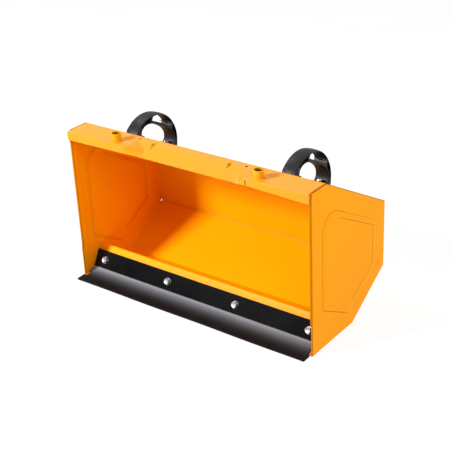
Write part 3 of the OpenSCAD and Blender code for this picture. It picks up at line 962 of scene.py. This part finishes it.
def roof_frames(lift):
    out = []
    places = [(x, s) for x in (-HANDLE_X, HANDLE_X) for s in (-HANDLE_BOLT_S, HANDLE_BOLT_S)]
    for k, (x, s) in enumerate(places):
        p = on_roof(HANDLE_S + s, lift)
        out.append(frame_at(at(x * MM, p[0], p[1]), ROOF_NORMAL, 17 * k + 5))
    return out


TAB_H, HANDLE_WASHER_H, HANDLE_NUT_H = 3.0, 1.4, 5.0
for proto, lift, kind, material in (
    (bolt(10, 4, 5.9, 13.4), TAB_H + HANDLE_WASHER_H, "bolt", washer_steel),
    (washer(6.4, 12, HANDLE_WASHER_H), TAB_H, "washer", washer_steel),
    (nut(10, HANDLE_NUT_H, 6.1), -SHEET_T - HANDLE_NUT_H, "nut", zinc_steel),
):
    placed(proto, roof_frames(lift), f"handle_{kind}_set", material, "zinc_steel", f"handle_{kind}s")

# ---- top rail

RAIL_DROP = 19.0
RAIL_LOW = TOP_Z - RAIL_DROP
RIDGE_Y = 34.0
FOLD_LOW_Y = 1.5
FOLD_SLOPE = RAIL_DROP / (RIDGE_Y - FOLD_LOW_Y)
FACET_Y = RIDGE_Y / 2
FACET_Z = TOP_Z - (RIDGE_Y - FACET_Y) * FOLD_SLOPE
# x of relief hole, flat top's corner, end of the plain flange, facet's low point, end of blend
LEFT = (-141.0, -139.0, -150.0, -110.0, -104.0)
FLANGE_LEFT = -0.248
RIGHT = (133.0, 156.0, 165.0, 136.0, 126.0)
# the flange's lower edge rises from here towards the facets, to these heights
TAPER_END, TAPER_LEFT, TAPER_RIGHT = 296.0, 2.8, 4.4
CORNER_BACK, CORNER_DROP = 4.6, 0.25
DIMPLE_X, DIMPLE_Y, DIMPLE_R = 98.0, 37.0, 5.2


def blend(a, b, t):
    return a + (b - a) * clamp(t)


def rail_section(x):
    """Corner points of the rail's outer line at X (mm), front flange first."""
    relief, corner_x, plain, facet_x, done = LEFT if x < 0 else RIGHT
    toward = 1 if x < 0 else -1
    t_plain = (x - plain) * toward
    t = clamp(t_plain / abs(done - plain))
    taper = clamp((TAPER_END - abs(x)) / (TAPER_END - abs(plain)))
    rise = (TAPER_LEFT if x < 0 else TAPER_RIGHT) * taper * (1 - smooth_step(t))
    low = (blend(RAIL_FRONT, FOLD_LOW_Y, smooth_step(t)), RAIL_LOW + rise)
    run_corner = abs(corner_x - plain)
    run_facet = max(abs(facet_x - corner_x), 1.0)
    if t_plain <= 0:
        shoulder = (RAIL_FRONT, TOP_Z)
    elif t_plain < run_corner:
        w = t_plain / run_corner
        shoulder = (RAIL_FRONT + (CORNER_BACK * w * w), TOP_Z - CORNER_DROP * w)
    else:
        w = min(1.0, (t_plain - run_corner) / run_facet)
        shoulder = (blend(RAIL_FRONT + CORNER_BACK, FACET_Y, w), blend(TOP_Z - CORNER_DROP, FACET_Z, w))
    t_relief = (x - relief) * toward
    v = clamp(t_relief / max(abs(facet_x - relief), 6.0))
    still_flat = x > corner_x if x > 0 else v <= 0
    if still_flat:
        return [low, shoulder, (RIDGE_Y - 6, TOP_Z), (RIDGE_Y, TOP_Z)]
    if x > 0:
        # the right-hand flat top ends on a slanting line from the relief hole to the front
        w = clamp((corner_x - x) / (corner_x - relief))
        edge_y = blend(RAIL_FRONT + CORNER_BACK, RIDGE_Y - 1.0, w)
        foot_y = blend(RAIL_FRONT + 3.0, FOLD_LOW_Y + 0.8 * (edge_y - FOLD_LOW_Y), smooth_step(w))
        foot_z = blend(TOP_Z - 0.6, TOP_Z - (RIDGE_Y - foot_y) * FOLD_SLOPE, smooth_step(w * 1.6))
        edge_z = TOP_Z - 0.05 - 0.58 * max(0.0, RIDGE_Y - edge_y) * smooth_step(w * 6 - 5)
        return [low, (foot_y, foot_z), (edge_y, edge_z), (RIDGE_Y, TOP_Z)]
    mid_y = RIDGE_Y - (RIDGE_Y - FACET_Y) * v
    mid_z = TOP_Z - (RIDGE_Y - mid_y) * FOLD_SLOPE
    # the ridge runs back into the relief hole
    back = 5.0 * max(0.0, 1 - t_relief / 18.0) ** 2
    return [low, shoulder, (mid_y + back * (1 - v), mid_z), (RIDGE_Y + back, TOP_Z)]


def spread(p):
    """Keeps neighbouring corner points at least a little apart."""
    q = [list(v) for v in p]
    for i in range(len(q) - 2, -1, -1):
        d = math.dist(q[i], q[i + 1])
        if d < 0.8:
            back = unit((q[0][0] - q[i + 1][0] + 1e-6, q[0][1] - q[i + 1][1] - 1e-6))
            q[i] = [q[i + 1][0] + back[0] * 0.8, q[i + 1][1] + back[1] * 0.8]
    return [tuple(v) for v in q]


def dimple(x, y):
    """Depth in mm of the two gussets pressed across the ridge: widest and deepest on it."""
    depth = 0.0
    for cx in (-DIMPLE_X, DIMPLE_X):
        v = (y - DIMPLE_Y) / (8.0 if y > DIMPLE_Y else -15.0)
        u = abs(x - cx) / DIMPLE_R
        if v < 1 and u < 1:
            depth += DIMPLE_R * max(0.0, 1 - v - 0.9 * u)
    return depth


def fixed_line(points, counts):
    """Polyline cut into a fixed number of steps on each side, so all stations match."""
    out = [points[0]]
    for (a, b), n in zip(zip(points, points[1:]), counts):
        out += divide(a, b, n)
    return out


def rail_line(x):
    corners = spread(rail_section(x)) + [(RAIL_BACK, TOP_Z), (RAIL_BACK, TOP_Z - 18)]
    line = fillet(corners, [1.1, 1.0, 1.8, 2.6], 4)
    counts = []
    for i in range(len(line) - 1):
        within_arc = i % 5 != 0
        counts.append(1 if within_arc else {0: 6, 5: 14, 10: 14, 15: 6, 20: 3}[i])
    return [(y, z - dimple(x, y) * (1 if z > RAIL_LOW + 4 else 0)) for y, z in fixed_line(line, counts)]


def rail_stations():
    xs = [-306.0, 306.0]
    xs += list(np.arange(-300, 301, 12.0))
    xs += list(np.arange(-156, -100, 1.0)) + list(np.arange(122, 170, 1.0))
    for c in (-DIMPLE_X, DIMPLE_X):
        xs += list(np.arange(c - 6.5, c + 6.6, 0.5))
    xs = sorted(xs)
    out = [xs[0]]
    for x in xs[1:]:
        if x - out[-1] > 0.45:
            out.append(x)
    return out


def build_rail():
    xs = rail_stations()
    lines = [rail_line(x) for x in xs]
    n = len(lines[0])
    inner = [offset(line, -RAIL_T) for line in lines]
    verts = [at(x * MM, y, z) for x, line in zip(xs, lines) for y, z in line]
    verts += [at(x * MM, y, z) for x, line in zip(xs, inner) for y, z in line]
    faces, half = [], len(xs) * n
    for k in range(len(xs) - 1):
        for i in range(n - 1):
            a, b, c, d = k * n + i, k * n + i + 1, (k + 1) * n + i + 1, (k + 1) * n + i
            faces += [(a, b, c, d), (half + d, half + c, half + b, half + a)]
        for i in (0, n - 1):
            a, b = k * n + i, (k + 1) * n + i
            faces.append((a, b, half + b, half + a))
    for k in (0, len(xs) - 1):
        for i in range(n - 1):
            a, b = k * n + i, k * n + i + 1
            faces.append((a, b, half + b, half + a))
    rail = make("rail", verts, faces)
    cutters = [box_mesh("slit", at(0.1643, RAIL_FRONT - 3, RAIL_LOW - 2), at(0.1657, 2, TOP_Z - 3.4)),
               box_mesh("open_end", at(-0.4, RAIL_FRONT - 3, RAIL_LOW - 9),
                        at(FLANGE_LEFT, RAIL_FRONT + RAIL_T + 1, TOP_Z - RAIL_T))]
    for x in (LEFT[0] - 1, RIGHT[0] + 1):
        hole = rod("hole", 3.0, -12, 12)
        from_mm(hole, x, 42.5, TOP_Z)
        cutters.append(hole)
    cut(rail, cutters)
    rail.data.set_sharp_from_angle(angle=math.radians(38))
    end = box_mesh("end", at(0.305, RAIL_FRONT, RAIL_LOW),
                   at(HALF_W - 0.1 * MM, RAIL_FRONT + RAIL_T, TOP_Z - 0.5))
    soften(end, 0.7, 3)
    bake_modifiers(end)
    rail = join("rail", [rail, end])
    even_normals(rail, keep_sharp=True)
    return dress(rail, rail_paint, "rail_paint", "top_rail")


build_rail()

# ---- socket tubes and beads

SOCKET_Y, SOCKET_R, BORE_R = 10.0, 11.0, 8.75
SOCKET_TOP, SOCKET_LOW = TOP_Z + 18.0, TOP_Z - 16.0
for x, side in ((-178.0, "left"), (186.0, "right")):
    profile = [
        (BORE_R, SOCKET_LOW + 0.5), (BORE_R + 0.5, SOCKET_LOW), (SOCKET_R - 0.5, SOCKET_LOW),
        (SOCKET_R, SOCKET_LOW + 0.5), (SOCKET_R, SOCKET_TOP - 0.8), (SOCKET_R - 0.25, SOCKET_TOP - 0.25),
        (SOCKET_R - 0.8, SOCKET_TOP), (BORE_R + 0.7, SOCKET_TOP), (BORE_R + 0.2, SOCKET_TOP - 0.2),
        (BORE_R, SOCKET_TOP - 0.7),
    ]
    tube = rings_mesh("tube_" + side, [circle(r, z) for r, z in profile])
    from_mm(tube, x, SOCKET_Y, 0)
    even_normals(tube)
    dress(tube, tube_paint, "rail_paint", "socket_tube_" + side)
    n = 120
    rings = []
    for s in range(9):
        a = s / 8 * math.pi / 2
        ring = []
        for i in range(n):
            w = 2 * math.pi * i / n
            size = 2.7 * (1 + 0.09 * math.sin(w * 23) + 0.06 * math.sin(w * 5 + x))
            flat = 0.86 if 0 < s < 8 else 1
            r = SOCKET_R - 0.1 + size * math.cos(a) * flat
            z = TOP_Z + size * math.sin(a) * flat + 0.02
            ring.append((r * math.cos(w), r * math.sin(w), z))
        rings.append(ring)
    rings.append(circle(SOCKET_R - 0.3, TOP_Z + 0.02, n))
    bead = rings_mesh("bead_" + side, rings)
    from_mm(bead, x, SOCKET_Y, 0)
    dress(bead, tube_paint, "rail_paint", "socket_bead_" + side)

# ---- carrying handles

BOW_A, BOW_B, BOW_P = 74.0, 63.0, 1.85
GRIP_A, GRIP_B, GRIP_P = 59.5, 35.0, 3.0
BAND_W, INNER_BAND_W, BAND_T = 33.0, 33.0, 3.0
POCKET_X, POCKET_RIB, POCKET_LOW = 40.0, 5.0, 17.0
BAR_T = 6.5
FOOT_H = 11.0
FOOT = [(72.9, 0), (72.4, 5.5), (70.7, FOOT_H), (61.0, FOOT_H), (58.9, 8.5), (58.9, 0)]


def arch(a, b, p, n=72):
    """Upper half of a superellipse with half axes a and b and power p."""
    pts = []
    for k in range(n + 1):
        w = math.pi * k / n
        c, s = math.cos(w), math.sin(w)
        pts.append((math.copysign(abs(c) ** (2 / p), c) * a, abs(s) ** (2 / p) * b))
    return pts


def sweep(name, path, section):
    """Closed section of (x across, r along the path's left) carried along a path in (s, n)."""
    verts = []
    for i, p in enumerate(path):
        q, o = path[min(i + 1, len(path) - 1)], path[max(i - 1, 0)]
        t = heading(o, q)
        left = (-t[1], t[0])
        for x, r in section:
            verts.append((x, p[0] + left[0] * r, p[1] + left[1] * r))
    return make(name, verts, loft_faces(len(path), len(section)))


def slab(name, outline, w):
    """Outline in (s, n) carried across the handle, centred, width w."""
    verts = [(x, p[0], p[1]) for x in (-w / 2, w / 2) for p in outline]
    return make(name, verts, loft_faces(2, len(outline)))


def band_section(w, t, crown, r):
    """Rounded strip section from r = 0 (outside, crowned) to r = t."""
    pts = []
    for k in range(13):
        x = (w / 2 - r) * (1 - k / 6)
        pts.append((x, crown * (x / (w / 2)) ** 2))
    edge = crown * ((w / 2 - r) / (w / 2)) ** 2
    left = [(-w / 2 + r * (1 - math.sin(a)), edge + r * (1 - math.cos(a))) for a in (0.5, 1.0, math.pi / 2)]
    right = [(-x, y) for x, y in left][::-1]
    low = [(-w / 2, t - 0.8), (-w / 2 + 0.8, t), (w / 2 - 0.8, t), (w / 2, t - 0.8)]
    return pts + left + low + right


def handle_mesh(name):
    outer = arch(BOW_A, BOW_B, BOW_P, 96)
    inner = arch(GRIP_A, GRIP_B, GRIP_P, 96)
    parts = [sweep("outer", outer, band_section(BAND_W, BAND_T + 0.6, 1.5, 2.2))]
    inner_band = [(x, -r) for x, r in band_section(INNER_BAND_W, BAND_T + 0.4, 0.8, 1.8)]
    parts.append(sweep("inner", inner, inner_band))
    web = arch(BOW_A - 2, BOW_B - 2, BOW_P, 72)
    hole = arch(GRIP_A + 2, GRIP_B + 2, GRIP_P, 72)
    web_slab = slab("web", web + hole[::-1], 5.0)
    cut(web_slab, [slab("window", [(-35, 36), (35, 36), (35, 62), (-35, 62)], 9.0)])
    parts.append(web_slab)

    def between(lo, hi, a_out, a_in, low=0.0, high=99.0):
        """Outline of the solid between the two bands, over a stretch of s and n."""
        bow = arch(BOW_A - a_out, BOW_B - a_out, BOW_P, 720)
        grip = arch(GRIP_A + a_in, GRIP_B + a_in, GRIP_P, 720)
        return [p for p in bow + grip[::-1] if lo <= p[0] <= hi and low <= p[1] <= high]

    for s in (-1, 1):
        lo, hi = sorted((s * POCKET_X, s * (POCKET_X - POCKET_RIB)))
        parts.append(slab("rib", between(lo, hi, 1.5, 1.5), 31.0))
        lo, hi = sorted((s * 90.0, s * 45.0))
        parts.append(slab("leg", between(lo, hi, 1.2, 1.2, 0.0, POCKET_LOW), 32.0))
        parts.append(slab("foot", [(s * a, b) for a, b in FOOT], BAND_W - 0.4))
        end = arch(BOW_A + 0.8, BOW_B + 0.8, BOW_P, 360)
        end = [p for p in end if p[0] * s > 0 and p[1] < FOOT_H]
        parts.append(sweep("cuff", end, band_section(BAND_W + 0.8, BAND_T + 1.2, 1.5, 2.2)))
        parts.append(box_mesh("tab", (-13, s * HANDLE_BOLT_S - 8, 0.0), (13, s * HANDLE_BOLT_S + 8, TAB_H)))
        for k in (-1, 1):
            rib = [(60, 0), (60, TAB_H + 6), (57, TAB_H + 2), (49, TAB_H), (49, 0)]
            parts.append(slab("gusset", [(s * a, b) for a, b in rib], 1.6))
            parts[-1].data.transform(Matrix.Translation((k * 11.5, 0, 0)))
    # the bar of the grip is thicker than the legs' inner band
    lo, hi = -POCKET_X, POCKET_X
    bar = arch(GRIP_A + BAR_T, GRIP_B + BAR_T, GRIP_P, 180) + arch(GRIP_A + 1, GRIP_B + 1, GRIP_P, 180)[::-1]
    parts.append(slab("bar", [p for p in bar if lo <= p[0] <= hi], INNER_BAND_W))
    # tongue standing inside the open crossbar
    parts.append(slab("tongue", [(12, 46.5), (35.6, 46.5), (35.6, 48.1), (12, 48.1)], 8.0))
    obj = join(name, parts)
    m = obj.modifiers.new("voxels", "REMESH")
    m.mode = "VOXEL"
    m.voxel_size = 0.8
    m.use_smooth_shade = True
    m = obj.modifiers.new("soft", "SMOOTH")
    m.factor = 0.5
    m.iterations = 3
    bake_modifiers(obj)
    bores = []
    for s in (-1, 1):
        bore = rod("bore", 3.3, -3, 9)
        bore.data.transform(Matrix.Translation((0, s * HANDLE_BOLT_S, 0)))
        bores.append(bore)
        for x in (-9.0, 9.0):
            dot = rod("dot", 1.3, -3, 3, 16)
            turned = Matrix.Rotation(math.pi / 2, 4, "X")
            dot.data.transform(Matrix.Translation((x, s * (BOW_A + 2), 5.5)) @ turned)
            bores.append(dot)
    for v in obj.data.vertices:
        v.co.z = max(v.co.z, 0.0)
    cut(obj, bores)
    return obj


origin = along((RAIL_BACK, TOP_Z), ROOF_DIR, HANDLE_S)
TO_ROOF = Matrix.Rotation(-ROOF, 4, "X") @ Matrix.Scale(MM, 4)
left_handle = handle_mesh("bow_left")
right_handle = new_object("bow_right", left_handle.data.copy())
for obj, x, node in ((left_handle, -HANDLE_X, "handle_left"), (right_handle, HANDLE_X, "handle_right")):
    obj.data.transform(Matrix.Translation(at(x * MM, *origin)) @ TO_ROOF)
    shade_smooth(obj.data)
    dress(obj, handle_plastic, "handle_plastic", node)

# ---- floor, light, camera


def area_light(name, where, look, size, power):
    data = bpy.data.lights.new(name, "AREA")
    data.shape = "RECTANGLE"
    data.size, data.size_y = size
    data.energy = power
    obj = new_object(name, data)
    obj.location = where
    obj.rotation_mode = "QUATERNION"
    obj.rotation_quaternion = (Vector(look) - Vector(where)).to_track_quat("-Z", "Y")


def compass(azimuth, elevation, distance, centre):
    """Point at a distance from a centre: azimuth 0 is the front, 90 the right."""
    a, e = math.radians(azimuth), math.radians(elevation)
    way = Vector((math.sin(a) * math.cos(e), -math.cos(a) * math.cos(e), math.sin(e)))
    return Vector(centre) + distance * way


floor_mat, tree, bsdf, coord = new_material("studio_floor")
tone = noise(tree, coord, 3.0, 3.0, 0.5)
pale = mix(tree, ramp(tree, tone, 0.3, 0.7), (0.13, 0.13, 0.13), (0.15, 0.15, 0.15))
tree.links.new(pale, bsdf.inputs["Base Color"])
bsdf.inputs["Roughness"].default_value = 0.9
bsdf.inputs["Specular IOR Level"].default_value = 0.1
bsdf.inputs["Emission Color"].default_value = (1.0, 1.0, 1.0, 1.0)
bsdf.inputs["Emission Strength"].default_value = 0.88
floor = make("studio_floor", [(-12, -12, 0), (12, -12, 0), (12, 12, 0), (-12, 12, 0)], [(0, 1, 2, 3)])
floor.data.materials.append(floor_mat)

centre = (Vector(CAD_LO) + Vector(CAD_HI)) / 2
area_light("key", compass(-31, 30, 3.4, centre), centre, (0.55, 0.55), 152)
area_light("overhead", centre + 2.0 * Vector((-0.552, 0.17, 0.816)), centre, (0.4, 0.35), 8)
area_light("front_fill", compass(58, 34, 3.0, centre), centre, (1.4, 1.2), 26)
area_light("fill", compass(105, 22, 3.2, centre), centre, (1.6, 1.4), 16)

# backdrop glow: bright behind the bucket, dark in front of it
world = bpy.data.worlds.new("studio")
scene.world = world
world.use_nodes = True
tree = world.node_tree
tree.nodes.clear()
coord = tree.nodes.new("ShaderNodeTexCoord")
glow = ramp(tree, split_axes(tree, coord.outputs["Generated"])["Y"], -0.55, 0.6, 0.05, 0.75)
glow.node.interpolation_type = "SMOOTHSTEP"
backdrop = tree.nodes.new("ShaderNodeBackground")
backdrop.inputs["Color"].default_value = (1.0, 1.0, 1.0, 1.0)
tree.links.new(glow, backdrop.inputs["Strength"])
world_out = tree.nodes.new("ShaderNodeOutputWorld")
tree.links.new(backdrop.outputs[0], world_out.inputs[0])

AZIMUTH, ELEVATION, ROLL = 38.16, 26.70, -2.88
DISTANCE = 2.342
cam_data = bpy.data.cameras.new("camera")
cam_data.sensor_width = 36.0
cam_data.lens = 87.3
camera = new_object("camera", cam_data)
aim = centre + Vector((0.0117, -0.0071, -0.0251))
camera.location = compass(AZIMUTH, ELEVATION, DISTANCE, aim)
camera.rotation_mode = "QUATERNION"
look = (aim - camera.location).to_track_quat("-Z", "Y")
camera.rotation_quaternion = look @ Quaternion((0, 0, 1), math.radians(ROLL))
cam_data.clip_end = 60
scene.camera = camera

scene.view_settings.view_transform = "Standard"
scene.view_settings.look = "None"
scene.view_settings.exposure = 0.0
scene.view_settings.gamma = 1.0
